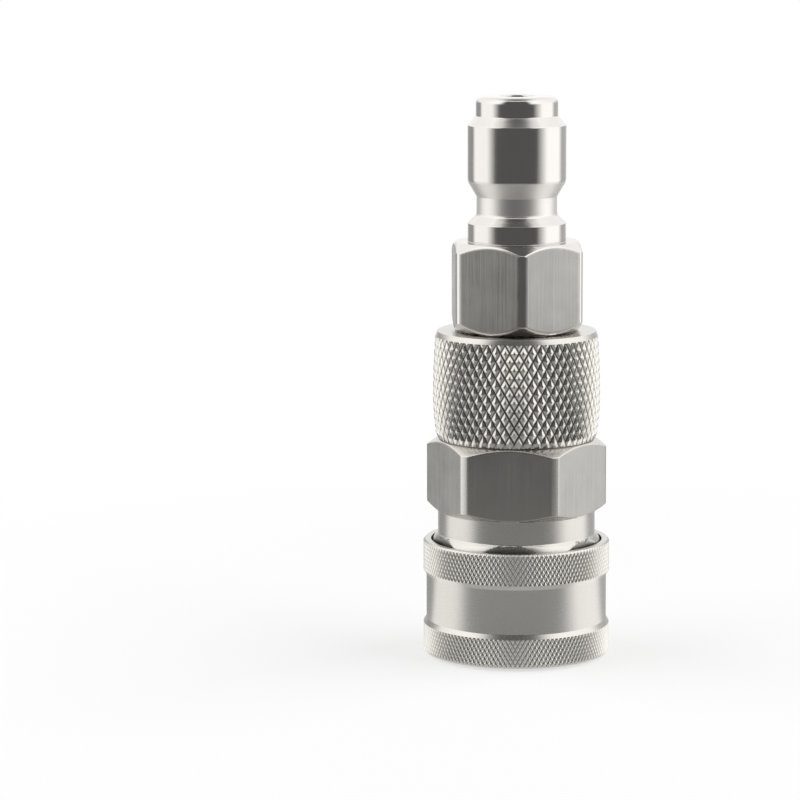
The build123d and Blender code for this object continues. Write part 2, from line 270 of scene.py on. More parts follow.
def lathe(name, profile, angles, flat_reach=None, flat_turn=0):
    """A closed profile of (radius, height) in mm carried once round the axis. With a flat reach,
    six flats are cut at that distance, the first one facing the angle of flat_turn, and their
    faces get the second material."""
    vertices, faces, on_flat = [], [], []
    rows, count = len(profile), len(angles)
    for angle in angles:
        turn = math.radians(angle)
        off_flat = math.radians((angle - flat_turn + sixth / 2) % sixth - sixth / 2)
        ring = clipped(profile, flat_reach / math.cos(off_flat)) if flat_reach else profile
        cut = [bool(flat_reach) and r * math.cos(off_flat) > flat_reach - hair for r, _ in ring]
        on_flat.append(cut)
        vertices += [(r * math.cos(turn) * mm, r * math.sin(turn) * mm, z * mm) for r, z in ring]
    marks = []
    for c in range(count):
        d = (c + 1) % count
        for k in range(rows):
            n = (k + 1) % rows
            faces.append((c * rows + k, c * rows + n, d * rows + n, d * rows + k))
            marks.append(on_flat[c][k] and on_flat[c][n] and on_flat[d][k] and on_flat[d][n])
    mesh = bpy.data.meshes.new(name)
    mesh.from_pydata(vertices, [], faces)
    mesh.polygons.foreach_set("use_smooth", [True] * len(faces))
    mesh.polygons.foreach_set("material_index", [int(m) for m in marks])
    made = bpy.data.objects.new(name, mesh)
    bpy.context.scene.collection.objects.link(made)
    work = bmesh.new()
    work.from_mesh(mesh)
    bmesh.ops.remove_doubles(work, verts=work.verts, dist=hair * mm)
    bmesh.ops.recalc_face_normals(work, faces=work.faces)
    work.to_mesh(mesh)
    work.free()
    return made


def settled(made):
    """Applies the object's modifiers to its mesh."""
    view = bpy.context.evaluated_depsgraph_get()
    mesh = bpy.data.meshes.new_from_object(made.evaluated_get(view))
    made.modifiers.clear()
    made.data = mesh


def edges_broken(made, turned_edge, flat_edge):
    """Breaks the sharp edges as a deburring tool does, wider where a flat meets a turned face."""
    sharp = math.radians(15)
    work = bmesh.new()
    work.from_mesh(made.data)
    weight = work.edges.layers.float.new("bevel_weight_edge")
    for edge in work.edges:
        if len(edge.link_faces) == 2 and edge.calc_face_angle() > sharp:
            kinds = {f.material_index for f in edge.link_faces}
            edge[weight] = 1.0 if len(kinds) == 2 else turned_edge / flat_edge
    work.to_mesh(made.data)
    work.free()
    bevel = made.modifiers.new("broken edges", "BEVEL")
    bevel.limit_method = "WEIGHT"
    bevel.width = flat_edge * mm
    bevel.segments = 2
    bevel.use_clamp_overlap = False
    level = made.modifiers.new("level normals", "WEIGHTED_NORMAL")
    level.keep_sharp = False
    settled(made)


# Turned stainless steel, 304 or 303, cut on a lathe with a fine feed and left as cut: a satin
# surface whose fine rings round the axis draw each reflection out along it.
turned_steel = marked(
    finish("turned stainless steel, satin", "#C3C0BB", Metallic=1.0, Roughness=0.27),
    spacing=0.12,
    across="turned",
    strength=0.025,
    wear=0.03,
)
# Cold drawn hexagonal bar: the flats keep the fine lines of the drawing die along the axis. The
# real lines are finer, and are drawn 0.4 mm apart so that they show.
drawn_steel = marked(
    finish("drawn stainless bar, brushed", "#A4A29E", Metallic=1.0, Roughness=0.4),
    spacing=0.4,
    across="drawn",
    strength=0.06,
    wear=0.09,
)
coupler = lathe(
    "coupler_body_turned",
    body_profile,
    columns(body_columns, body_flat_turn),
    body_flat_reach,
    body_flat_turn,
)
coupler.data.materials.append(turned_steel)
coupler.data.materials.append(drawn_steel)
edges_broken(coupler, turned_edge=0.08, flat_edge=0.26)

# The holes are cut by drills with a pointed end, which leaves each ball a tapered seat. A drill
# is turned half a side round its own axis, so that no corner of it meets a column of the lathe.
drills = bmesh.new()
for number in range(ball_count):
    turn = Matrix.Rotation(2 * math.pi * number / ball_count, 4, "Z")
    point = drills.verts.new(turn @ Vector((ball_seat_apex * mm, 0, ball_height * mm)))
    rings = []
    for reach in (ball_seat_end, ball_hole_end):
        ring = []
        for i in range(drill_sides):
            a = 2 * math.pi * (i + 0.5) / drill_sides
            y, z = ball_hole_radius * math.cos(a), ball_height + ball_hole_radius * math.sin(a)
            ring.append(drills.verts.new(turn @ Vector((reach * mm, y * mm, z * mm))))
        rings.append(ring)
    for i in range(drill_sides):
        j = (i + 1) % drill_sides
        drills.faces.new((point, rings[0][j], rings[0][i]))
        drills.faces.new((rings[0][i], rings[0][j], rings[1][j], rings[1][i]))
    drills.faces.new(rings[1])
bmesh.ops.recalc_face_normals(drills, faces=drills.faces)
drill_mesh = bpy.data.meshes.new("ball_holes")
drills.to_mesh(drill_mesh)
drills.free()
drill = bpy.data.objects.new("ball_holes", drill_mesh)
bpy.context.scene.collection.objects.link(drill)
cut = coupler.modifiers.new("ball holes", "BOOLEAN")
cut.object = drill
cut.operation = "DIFFERENCE"
settled(coupler)
bpy.data.objects.remove(drill)
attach(coupler, "coupler")
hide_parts("coupler_body")

# Lock balls: hardened and polished stainless bearing balls, one loose in each hole of the nose.
# They are ground and lapped, so that they mirror the bore.
ball_steel = marked(
    finish("polished bearing steel", "#D8D6D2", Metallic=1.0, Roughness=0.08),
    spacing=0.1,
    across="even",
    strength=0.01,
    wear=0.03,
)
for number in range(1, ball_count + 1):
    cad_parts[f"lock_ball_{number}"].material_slots[0].material = ball_steel

# Seals: black nitrile O-rings, round in section, moulded and slightly matt. One sits in the
# socket's groove, one on the swivel spigot between two backup rings, one in the nut's roof.
seal_section_sides = 16
seal_columns = 96
nitrile = marked(
    finish("moulded nitrile rubber", "#1B1B1C", Roughness=0.55),
    spacing=0.12,
    across="even",
    strength=0.08,
    wear=0.08,
)
# Backup rings: white filled bearing plastic, turned from rod, so that fine rings show.
bearing_plastic = marked(
    finish("filled white bearing plastic", "#E4E2DC", Roughness=0.45),
    spacing=0.12,
    across="turned",
    strength=0.05,
    wear=0.06,
)
# Radius of the ring's middle, width of its section, its height and the body that it rides on
seals = {
    "socket_o_ring": (8.03, 1.9, 22.25, "coupler"),
    "dust_seal": (8.3, 1.5, 55.15, "coupler"),
    "stem_o_ring": (6.14, 1.83, 30.5, "swivel"),
}
for node, (middle, section, height, rider) in seals.items():
    circle = [2 * math.pi * i / seal_section_sides for i in range(seal_section_sides)]
    profile = [
        (middle + section / 2 * math.cos(a), height + section / 2 * math.sin(a)) for a in circle
    ]
    seal = lathe(node + "_round", profile, [360 * i / seal_columns for i in range(seal_columns)])
    seal.data.materials.append(nitrile)
    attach(seal, rider)
    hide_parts(node)
for node in ("stem_backup_ring_lower", "stem_backup_ring_upper"):
    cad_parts[node].material_slots[0].material = bearing_plastic

# Snap rings: flat rings of bright drawn stainless spring steel, open for a short stretch. One
# stops the sleeve at the nose, the other holds the washers on the nipple's stem.
spring_steel = marked(
    finish("drawn spring steel", "#C9C6C1", Metallic=1.0, Roughness=0.22),
    spacing=0.2,
    across="turned",
    strength=0.05,
    wear=0.04,
)
for node in ("sleeve_snap_ring", "stem_retaining_ring"):
    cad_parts[node].material_slots[0].material = spring_steel

# Return spring: a coil of round spring wire between the sleeve's land and the body's flange. It
# shortens towards the flange as the sleeve comes back.
wire = 1.2
wire_sides = 12
coil_radius = 13.4
coil_turns = 3.25
coil_steps = 78
coil_foot, coil_head = (corner[2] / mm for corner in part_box("sleeve_spring"))
coil_rise = coil_head - coil_foot - wire
coil_edge = math.radians(60)
coil_points, coil_faces = [], []
for i in range(coil_steps + 1):
    turn = 2 * math.pi * coil_turns * i / coil_steps
    height = coil_foot + wire / 2 + coil_rise * i / coil_steps
    for k in range(wire_sides):
        a = 2 * math.pi * k / wire_sides
        r, z = coil_radius + wire / 2 * math.cos(a), height + wire / 2 * math.sin(a)
        coil_points.append((r * math.cos(turn) * mm, r * math.sin(turn) * mm, z * mm))
for i in range(coil_steps):
    here, there = i * wire_sides, (i + 1) * wire_sides
    for k in range(wire_sides):
        n = (k + 1) % wire_sides
        coil_faces.append((here + k, there + k, there + n, here + n))
coil_faces.append(tuple(range(wire_sides)))
coil_faces.append(tuple(reversed(range(coil_steps * wire_sides, len(coil_points)))))
coil_mesh = bpy.data.meshes.new("sleeve_spring_coil")
coil_mesh.from_pydata(coil_points, [], coil_faces)
coil_mesh.shade_smooth()
coil_mesh.set_sharp_from_angle(angle=coil_edge)
coil_mesh.materials.append(spring_steel)
coil = bpy.data.objects.new("sleeve_spring_coil", coil_mesh)
bpy.context.scene.collection.objects.link(coil)
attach(coil, "spring")
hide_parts("sleeve_spring")
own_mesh(coil)

# Release sleeve: turned stainless, with a satin waist between two bands that a knurling tool has
# rolled with fine crossed grooves. It is drawn back by hand to free the balls.
sleeve_foot = 0.5
sleeve_top = 20.5
sleeve_end_radius = 16.0
sleeve_rounding = 0.12
band_radius = 16.34
band_edge_height = 0.35
band_edge_share = 0.05
lower_band_top = 5.6
upper_band_foot = 15.05
waist_radius = 15.83
waist_foot = 6.4
waist_top = 14.25
pocket_radius = 15.0
land_radius = 11.88
land_top = 9.0
cone_top = 7.08
cone_foot_radius = 13.174
ledge_radius = 14.5
# Knurl of the bands: ridges round the sleeve, height of a diamond, the lathe's columns and rows
# for one ridge, depth, and the shares of a ridge that are flat at its crest and in its groove
band_ridges = 128
band_diamond = 1.39
band_steps = 6
band_depth = 0.12
band_crest_flat = 1 / 3
band_groove_flat = 0.0
# A face belongs to a band if it lies less than the skin below the crests, and the knurl's rows
# keep the clearance from the profile's own points.
band_skin = 1.0
row_clearance = 0.02


def band_crest(z):
    """Radius of the bands' crests, the same at every height."""
    return band_radius


def eased(points, radius, steps=3):
    """The closed profile with each corner rounded to that radius, or less where it is short."""
    least_turn = math.radians(15)
    longest_cut = 0.3
    result = []
    for k, here in enumerate(points):
        before, after = Vector(points[k - 1]), Vector(points[(k + 1) % len(points)])
        here = Vector(here)
        back, on = before - here, after - here
        turn = math.pi - back.angle(on)
        if turn < least_turn:
            result.append(tuple(here))
            continue
        cut = min(radius * math.tan(turn / 2), longest_cut * back.length, longest_cut * on.length)
        start, end = here + back.normalized() * cut, here + on.normalized() * cut
        for i in range(steps + 1):
            t = i / steps
            spot = start * (1 - t) ** 2 + here * 2 * t * (1 - t) + end * t**2
            result.append(tuple(spot))
    return result


def knurl_blank(name, profile, bands, lattice):
    """A lathe blank with a fine grid where the knurl goes. Each band is its foot, its top and a
    function of the height that gives the crest's radius, which is kept on its points. The lattice
    is one height where a row starts, the height of a row, the ridges and the columns of a ridge."""
    origin, row, ridges, steps = lattice
    rows = []
    for k, (r, z) in enumerate(profile):
        rows.append((r, z))
        r1, z1 = profile[(k + 1) % len(profile)]
        low, high = min(z, z1), max(z, z1)
        for foot, top, crest in bands:
            inside = low >= foot - hair and high <= top + hair and high - low > hair
            if inside and min(r, r1) > crest(z) - band_skin:
                first = math.ceil((low + row_clearance - origin) / row)
                last = math.floor((high - row_clearance - origin) / row)
                levels = [origin + i * row for i in range(first, last + 1)]
                if z1 < z:
                    levels.reverse()
                rows += [(r + (r1 - r) * (v - z) / (z1 - z), v) for v in levels]
    count = ridges * steps
    made = lathe(name, rows, [i * 360 / count for i in range(count)])
    crests = made.data.attributes.new("crest", "FLOAT", "POINT")
    for point, kept in zip(made.data.vertices, crests.data):
        r, z = math.hypot(point.co.x, point.co.y) / mm, point.co.z / mm
        for foot, top, crest in bands:
            if foot - hair <= z <= top + hair and r > crest(z) - band_skin:
                kept.value = crest(z) * mm
    return made


def angle_past(middle):
    """A sort key: how far round a vertex lies, counted from opposite the middle."""
    return lambda v: (math.atan2(v.co.y, v.co.x) - middle + math.pi) % (2 * math.pi)


def groove_cuts(made, bands, lattice):
    """Cuts each quad of the bands in two along the diagonal that a groove, or the edge of a
    point's flat top, may follow. Both run only through points an even number of steps apart."""
    origin, row, ridges, steps = lattice
    work = bmesh.new()
    work.from_mesh(made.data)
    for face in list(work.faces):
        c = face.calc_center_median()
        r, z = math.hypot(c.x, c.y) / mm, c.z / mm
        if not any(foot < z < top and r > crest(z) - band_skin for foot, top, crest in bands):
            continue
        middle = math.atan2(c.y, c.x)
        i = math.floor(middle / (2 * math.pi) * ridges * steps)
        j = math.floor((z - origin) / row)
        by_height = sorted(face.verts, key=lambda v: v.co.z)
        low = sorted(by_height[:2], key=angle_past(middle))
        high = sorted(by_height[2:], key=angle_past(middle))
        if (i + j) % 2:
            bmesh.utils.face_split(face, low[1], high[0])
        else:
            bmesh.utils.face_split(face, low[0], high[1])
    work.to_mesh(made.data)
    work.free()


def knurl_tree(name, metal):
    """Presses crossed grooves into the points that carry a crest radius. Two families of ridges
    wind up the axis in opposite ways, and the lower of the two gives the height, so that what
    is left between the grooves is a four-sided point. Its crest and the grooves' floors are flat
    for the shares given."""
    tree = bpy.data.node_groups.new(name, "GeometryNodeTree")
    sockets = tree.interface
    sockets.new_socket("Geometry", in_out="INPUT", socket_type="NodeSocketGeometry")
    for label in ("Ridges", "Diamond height", "Foot", "Depth", "Crest flat", "Groove flat"):
        sockets.new_socket(label, in_out="INPUT", socket_type="NodeSocketFloat")
    sockets.new_socket("Geometry", in_out="OUTPUT", socket_type="NodeSocketGeometry")
    given = add(tree, "NodeGroupInput").outputs
    math_node = "ShaderNodeMath"

    place = add(tree, "GeometryNodeInputPosition").outputs[0]
    x, y, z = add(tree, "ShaderNodeSeparateXYZ", {0: place}).outputs
    angle = add(tree, math_node, {0: y, 1: x}, operation="ARCTAN2").outputs[0]
    around = add(tree, math_node, {0: angle, 1: 2 * math.pi}, operation="DIVIDE").outputs[0]
    turns = add(tree, math_node, {0: around, 1: given["Ridges"]}, operation="MULTIPLY").outputs[0]
    up = add(tree, math_node, {0: z, 1: given["Foot"]}, operation="SUBTRACT").outputs[0]
    climb = add(tree, math_node, {0: up, 1: given["Diamond height"]}, operation="DIVIDE").outputs[0]
    top = add(tree, math_node, {0: 1.0, 1: given["Crest flat"]}, operation="SUBTRACT").outputs[0]

    # How high each family of ridges stands, from 0 in its grooves to 1 on its crests
    families = []
    for way in ("ADD", "SUBTRACT"):
        wound = add(tree, math_node, {0: turns, 1: climb}, operation=way).outputs[0]
        halves = add(tree, math_node, {0: wound, 1: 2.0}, operation="MULTIPLY").outputs[0]
        share = add(tree, math_node, {0: halves, 1: 1.0}, operation="PINGPONG").outputs[0]
        steep = {0: share, 1: given["Groove flat"], 2: top}
        families.append(add(tree, "ShaderNodeMapRange", steep).outputs[0])
    lower = add(tree, math_node, dict(enumerate(families)), operation="MINIMUM").outputs[0]
    dip = add(tree, math_node, {0: 1.0, 1: lower}, operation="SUBTRACT").outputs[0]

    # Each point of the blank is drawn in towards the axis, down to its place in the knurl
    crest = add(tree, "GeometryNodeInputNamedAttribute", {"Name": "crest"}, data_type="FLOAT")
    crest = crest.outputs[0]
    depth = add(tree, math_node, {0: dip, 1: given["Depth"]}, operation="MULTIPLY").outputs[0]
    floor = add(tree, math_node, {0: crest, 1: depth}, operation="SUBTRACT").outputs[0]
    flat = add(tree, "ShaderNodeVectorMath", {0: place, 1: (1, 1, 0)}, operation="MULTIPLY")
    far = add(tree, "ShaderNodeVectorMath", {0: flat.outputs[0]}, operation="LENGTH")
    radius = far.outputs["Value"]
    reach = add(tree, math_node, {0: radius, 1: floor}, operation="MINIMUM").outputs[0]
    shrink = add(tree, math_node, {0: reach, 1: radius}, operation="DIVIDE").outputs[0]
    scale = add(tree, "ShaderNodeCombineXYZ", {0: shrink, 1: shrink, 2: 1.0}).outputs[0]
    drawn_in = add(tree, "ShaderNodeVectorMath", {0: place, 1: scale}, operation="MULTIPLY")
    chosen = add(tree, math_node, {0: crest, 1: 0.0}, operation="GREATER_THAN").outputs[0]
    pressed = add(
        tree,
        "GeometryNodeSetPosition",
        {"Geometry": given["Geometry"], "Selection": chosen, "Position": drawn_in.outputs[0]},
    )
    kept = add(
        tree,
        "GeometryNodeStoreNamedAttribute",
        {"Geometry": pressed.outputs[0], "Name": "groove", "Value": dip},
        data_type="FLOAT",
    )
    real = add(tree, "GeometryNodeRealizeInstances", {0: kept.outputs[0]})
    coated = add(
        tree,
        "GeometryNodeSetMaterial",
        {"Geometry": real.outputs[0], "Selection": chosen, "Material": metal},
    )
    add(tree, "NodeGroupOutput", {0: coated.outputs[0]})
    return tree


def knurled(made, tree, sizes):
    """Runs the knurl on the blank with the sizes given, and keeps the result as a plain mesh."""
    facet_edge = math.radians(16)
    press = made.modifiers.new("knurl", "NODES")
    press.node_group = tree
    for item in tree.interface.items_tree:
        if item.in_out == "INPUT" and item.name in sizes:
            press[item.identifier] = sizes[item.name]
    settled(made)
    made.data.set_sharp_from_angle(angle=facet_edge)


def knurled_metal(name, base, grooves, roughness):
    """Metal that goes from its base colour to a darker colour where the knurl is deep. The tool
    leaves burnished slopes; the darker colour in the grooves is painted shade, so that they read as
    dark lines between bright points."""
    painted_shade_from = 0.65
    made = finish(name, base, Metallic=1.0, Roughness=roughness)
    marked(made, spacing=0.15, across="drawn", strength=0.04, wear=0.05)
    tree = made.node_tree
    depth = add(tree, "ShaderNodeAttribute", attribute_name="groove").outputs["Fac"]
    # Painted shade: the darker groove colour is mixed in where the knurl is deep.
    share = add(tree, "ShaderNodeMapRange", {0: depth, 1: painted_shade_from, 2: 1.0}).outputs[0]
    colours = {0: share, 6: linear(base), 7: linear(grooves)}
    mixed = add(tree, "ShaderNodeMix", colours, data_type="RGBA")
    tree.links.new(mixed.outputs[2], tree.nodes["Principled BSDF"].inputs["Base Color"])
    return made


# Fine rolled knurl on turned stainless: its small points are burnished less than the nut's.
# The second colour is painted shade in the knurl's grooves.
band_knurl_steel = knurled_metal("fine rolled knurl on stainless", "#D0CDC7", "#706D69", 0.32)
band_lattice = (sleeve_foot, band_diamond / band_steps, band_ridges, band_steps)
sleeve_profile = eased(
    [
        (ledge_radius, sleeve_foot),
        (sleeve_end_radius, sleeve_foot),
        (band_radius, sleeve_foot + band_edge_height),
        (band_radius, lower_band_top),
        (waist_radius, waist_foot),
        (waist_radius, waist_top),
        (band_radius, upper_band_foot),
        (band_radius, sleeve_top - band_edge_height),
        (sleeve_end_radius, sleeve_top),
        (pocket_radius, sleeve_top),
        (pocket_radius, land_top),
        (land_radius, land_top),
        (land_radius, cone_top),
        (cone_foot_radius, snap_groove_top),
        (ledge_radius, snap_groove_top),
    ],
    sleeve_rounding,
)
sleeve_bands = [
    (sleeve_foot + band_edge_height - band_edge_share, lower_band_top, band_crest),
    (upper_band_foot, sleeve_top - band_edge_height + band_edge_share, band_crest),
]
sleeve = knurl_blank("release_sleeve_knurled", sleeve_profile, sleeve_bands, band_lattice)
groove_cuts(sleeve, sleeve_bands, band_lattice)
sleeve.data.materials.append(turned_steel)
knurled(
    sleeve,
    knurl_tree("knurl on the sleeve", band_knurl_steel),
    {
        "Ridges": float(band_ridges),
        "Diamond height": band_diamond * mm,
        "Foot": sleeve_foot * mm,
        "Depth": band_depth * mm,
        "Crest flat": band_crest_flat,
        "Groove flat": band_groove_flat,
    },
)
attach(sleeve, "sleeve")
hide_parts("release_sleeve")

# Swivel nut: turned stainless, slightly crowned, with a coarse diamond knurl for the hand. Its
# shank screws into the coupler body, and its roof holds the nipple's washers.
nut_rim = 57.35
nut_rim_radius = 13.85
nut_top = 56.45
nut_top_radius = 14.2
nut_foot = 39.4
nut_foot_radius = 14.15
nut_foot_face_radius = 13.8
crown_radius = 14.6
crown_height = 46
crown_every = 4
nut_mouth_chamfer = 0.5
nut_roof_bore = 7.6
nut_ceiling = 49.95
dust_groove_floor = 9.1
dust_groove_foot = 54.35
dust_groove_top = 55.95
cavity_radius = 10.2
shank_radius = 11.8
shank_foot = 33.6
shank_chamfer = 0.6
nut_rounding = 0.12
# Knurl of the nut: ridges round it, the lathe's columns for one ridge, its rows over the height,
# the rows by which the pattern starts below the foot, its depth and the two flat shares. Every
# fourth row is a point of the crown.
nut_ridges = 56
nut_steps = 10
nut_rows = 60
nut_rows_below = 5
nut_depth = 0.3
nut_crest_flat = 0.3
nut_groove_flat = 0.1
nut_row = (nut_top - nut_foot) / nut_rows
knurl_foot = nut_foot - nut_rows_below * nut_row
nut_lattice = (knurl_foot, nut_row, nut_ridges, nut_steps)


def nut_crest(z):
    """Radius of the nut's crown at a height: largest at its middle, less towards both ends."""
    end, end_radius = (nut_top, nut_top_radius) if z > crown_height else (nut_foot, nut_foot_radius)
    share = (z - crown_height) / (end - crown_height)
    return crown_radius - (crown_radius - end_radius) * share**2


# Coarse rolled knurl on turned stainless: large points, burnished bright by the knurling tool.
# The second colour is painted shade in the knurl's grooves.
nut_knurl_steel = knurled_metal("coarse rolled knurl on stainless", "#CBC8C2", "#423F3C", 0.17)
crown = [nut_foot + nut_row * k for k in range(crown_every, nut_rows, crown_every)]
nut_profile = eased(
    [
        (nut_foot_face_radius, hex_top),
        (nut_foot_radius, nut_foot),
        *[(nut_crest(z), z) for z in crown],
        (nut_top_radius, nut_top),
        (nut_rim_radius, nut_rim),
        (nut_roof_bore + nut_mouth_chamfer, nut_rim),
        (nut_roof_bore, nut_rim - nut_mouth_chamfer),
        (nut_roof_bore, dust_groove_top),
        (dust_groove_floor, dust_groove_top),
        (dust_groove_floor, dust_groove_foot),
        (nut_roof_bore, dust_groove_foot),
        (nut_roof_bore, nut_ceiling),
        (cavity_radius, nut_ceiling),
        (cavity_radius, shank_foot),
        (shank_radius - shank_chamfer, shank_foot),
        (shank_radius, shank_foot + shank_chamfer),
        (shank_radius, hex_top),
    ],
    nut_rounding,
)
nut_bands = [(nut_foot, nut_top, nut_crest)]
nut = knurl_blank("swivel_nut_knurled", nut_profile, nut_bands, nut_lattice)
groove_cuts(nut, nut_bands, nut_lattice)
nut.data.materials.append(turned_steel)
knurled(
    nut,
    knurl_tree("knurl on the nut", nut_knurl_steel),
    {
        "Ridges": float(nut_ridges),
        "Diamond height": nut_row * nut_steps * mm,
        "Foot": knurl_foot * mm,
        "Depth": nut_depth * mm,
        "Crest flat": nut_crest_flat,
        "Groove flat": nut_groove_flat,
    },
)
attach(nut, "coupler")
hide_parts("swivel_nut")

# Thrust washers: natural acetal against the nut's roof, ground steel under it. They carry the
# hose's pull while the nipple turns.
acetal = marked(
    finish("natural acetal", "#E3E0D6", Roughness=0.4),
    spacing=0.15,
    across="turned",
    strength=0.05,
    wear=0.06,
)
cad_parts["thrust_washer"].material_slots[0].material = acetal
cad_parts["support_washer"].material_slots[0].material = turned_steel

# Plug nipple: turned from smaller hexagonal bar and drilled through. Its plug enters another
# coupler, whose balls drop into the groove, and its stem turns in the swivel nut.
tip_radius = 7.18
tip_top = 98.1
tip_rounding = 1.2
tip_rounding_steps = 8
tip_foot = 94.68
plug_radius = 8.62
plug_top = 93.08
plug_foot = 83.5
lock_groove_radius = 7.0
lock_groove_top = 80.76
lock_groove_foot = 77.65
collar_radius = 8.6
collar_top = 76.13
upper_hex_top = 73.0
upper_hex_land_top = 71.46
upper_hex_land_foot = 59.26
upper_hex_foot = 57.6
upper_hex_corner_radius = 12.4
upper_hex_top_face_radius = 10.6
upper_hex_foot_face_radius = 10.74
stem_radius = 7.5
stem_foot = 43.31
stem_chamfer = 0.4
ring_groove_floor = 6.6
ring_groove_top = 46.51
ring_groove_foot = 45.21
spigot_radius = 7.0
spigot_foot = 26.75
spigot_chamfer = 0.5
stem_seal_floor = 5.2
stem_seal_top = 32.3
stem_seal_foot = 28.7
passage_chamfer = 0.2
nipple_flat_reach = 11.0
nipple_flat_turn = -110.7
nipple_columns = [(-27.49, 0), (27.49, 24), (32.51, 2)]
tip_end = tip_radius - tip_rounding
nipple_profile = [
    (passage_radius + passage_chamfer, tip_top),
    *[
        (tip_end + tip_rounding * math.sin(a), tip_top - tip_rounding * (1 - math.cos(a)))
        for a in (math.pi / 2 * i / tip_rounding_steps for i in range(tip_rounding_steps + 1))
    ],
    (tip_radius, tip_foot),
    (plug_radius, plug_top),
    (plug_radius, plug_foot),
    (lock_groove_radius, lock_groove_top),
    (lock_groove_radius, lock_groove_foot),
    (collar_radius, collar_top),
    (collar_radius, upper_hex_top),
    (upper_hex_top_face_radius, upper_hex_top),
    (upper_hex_corner_radius, upper_hex_land_top),
    (upper_hex_corner_radius, upper_hex_land_foot),
    (upper_hex_foot_face_radius, upper_hex_foot),
    (stem_radius, upper_hex_foot),
    (stem_radius, ring_groove_top),
    (ring_groove_floor, ring_groove_top),
    (ring_groove_floor, ring_groove_foot),
    (stem_radius, ring_groove_foot),
    (stem_radius, stem_foot + stem_chamfer),
    (spigot_radius, stem_foot),
    (spigot_radius, stem_seal_top),
    (stem_seal_floor, stem_seal_top),
    (stem_seal_floor, stem_seal_foot),
    (spigot_radius, stem_seal_foot),
    (spigot_radius, spigot_foot + spigot_chamfer),
    (spigot_radius - spigot_chamfer, spigot_foot),
    (passage_radius + passage_chamfer, spigot_foot),
    (passage_radius, spigot_foot + passage_chamfer),
    (passage_radius, tip_top - passage_chamfer),
]
# The plug is finished finer than the rest, because seals slide on it: nearly polished. Its rings
# are too fine to show, and are drawn 0.3 mm apart.
polished_steel = marked(
    finish("turned stainless steel, polished", "#C6C3BF", Metallic=1.0, Roughness=0.14),
    spacing=0.3,
    across="turned",
    strength=0.04,
    wear=0.04,
)
# The locking groove and the slope above it are cut with a form tool, which leaves them duller.
groove_steel = marked(
    finish("form-turned groove, dull", "#D2CFCB", Metallic=1.0, Roughness=0.42),
    spacing=0.15,
    across="turned",
    strength=0.05,
    wear=0.04,
)
nipple = lathe(
    "plug_nipple_turned",
    nipple_profile,
    columns(nipple_columns, nipple_flat_turn),
    nipple_flat_reach,
    nipple_flat_turn,
)
for metal in (polished_steel, drawn_steel, groove_steel):
    nipple.data.materials.append(metal)
for side in nipple.data.polygons:
    outside = side.center.xy.length > lock_groove_radius / 2 * mm
    if outside and lock_groove_foot < side.center.z / mm < plug_foot:
        side.material_index = 2
edges_broken(nipple, turned_edge=0.08, flat_edge=0.36)
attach(nipple, "swivel")
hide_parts("plug_nipple")

# Studio: a plain floor of white paper in a white surround, with a large soft box at each side.
# The floor keeps the object's shadow and pales to pure white away from it.
floor_half = 9
fade_start = 30 * mm
fade_end = 180 * mm
fade_least = 0.6
surround_light = 0.35
white = (1, 1, 1, 1)
corners = [(-1, -1), (1, -1), (1, 1), (-1, 1)]
floor_mesh = bpy.data.meshes.new("floor")
floor_mesh.from_pydata([(x * floor_half, y * floor_half, 0) for x, y in corners], [], [(0, 1, 2, 3)])
floor = bpy.data.objects.new("floor", floor_mesh)
bpy.context.scene.collection.objects.link(floor)
paper = finish("white paper floor", "#F2F2F2", Roughness=0.9, Specular_IOR_Level=0.0)
paper_tree = paper.node_tree


def seen_white(tree):
    """1 for the rays that should meet a white background, and 0 for the light that it gives."""
    rays = add(tree, "ShaderNodeLightPath").outputs
    seen = rays["Is Camera Ray"]
    for ray in ("Is Glossy Ray", "Is Transmission Ray"):
        seen = add(tree, "ShaderNodeMath", {0: seen, 1: rays[ray]}, operation="MAXIMUM").outputs[0]
    return seen


spot = add(paper_tree, "ShaderNodeTexCoord").outputs["Object"]
away = add(paper_tree, "ShaderNodeVectorMath", {0: spot}, operation="LENGTH").outputs["Value"]
paling = {0: away, 1: fade_start, 2: fade_end, 3: fade_least, 4: 1.0}
fade = add(paper_tree, "ShaderNodeMapRange", paling).outputs[0]
both = {0: fade, 1: seen_white(paper_tree)}
share = add(paper_tree, "ShaderNodeMath", both, operation="MULTIPLY").outputs[0]
glow = add(paper_tree, "ShaderNodeEmission", {"Color": white, "Strength": 1.0}).outputs[0]
lit = paper_tree.nodes["Principled BSDF"].outputs[0]
blend = add(paper_tree, "ShaderNodeMixShader", {0: share, 1: lit, 2: glow})
paper_tree.links.new(blend.outputs[0], paper_tree.nodes["Material Output"].inputs[0])
floor.data.materials.append(paper)

world = bpy.data.worlds.new("studio")
bpy.context.scene.world = world
world.use_nodes = True
background = world.node_tree.nodes["Background"]
background.inputs["Color"].default_value = white
levels = {0: seen_white(world.node_tree), 3: surround_light, 4: 1.0}
level = add(world.node_tree, "ShaderNodeMapRange", levels)
world.node_tree.links.new(level.outputs[0], background.inputs["Strength"])

# Soft boxes: degrees round the object from the lens, and brightness
soft_boxes = {"left soft box": (-88, 1.6), "right soft box": (88, 2.0)}
box_reach = 0.25
box_wide = 0.5
box_tall = 0.6
for name, (azimuth, brightness) in soft_boxes.items():
    lamp = bpy.data.lights.new(name, "AREA")
    lamp.shape = "RECTANGLE"
    lamp.size = box_wide
    lamp.size_y = box_tall
    lamp.energy = brightness * math.pi * box_wide * box_tall
    holder = bpy.data.objects.new(name, lamp)
    bpy.context.scene.collection.objects.link(holder)
    turn = camera_turn + math.radians(azimuth)
    holder.location = (box_reach * math.sin(turn), -box_reach * math.cos(turn), box_tall / 2)
    holder.rotation_euler = (math.radians(90), 0, turn)
    holder.visible_glossy = False

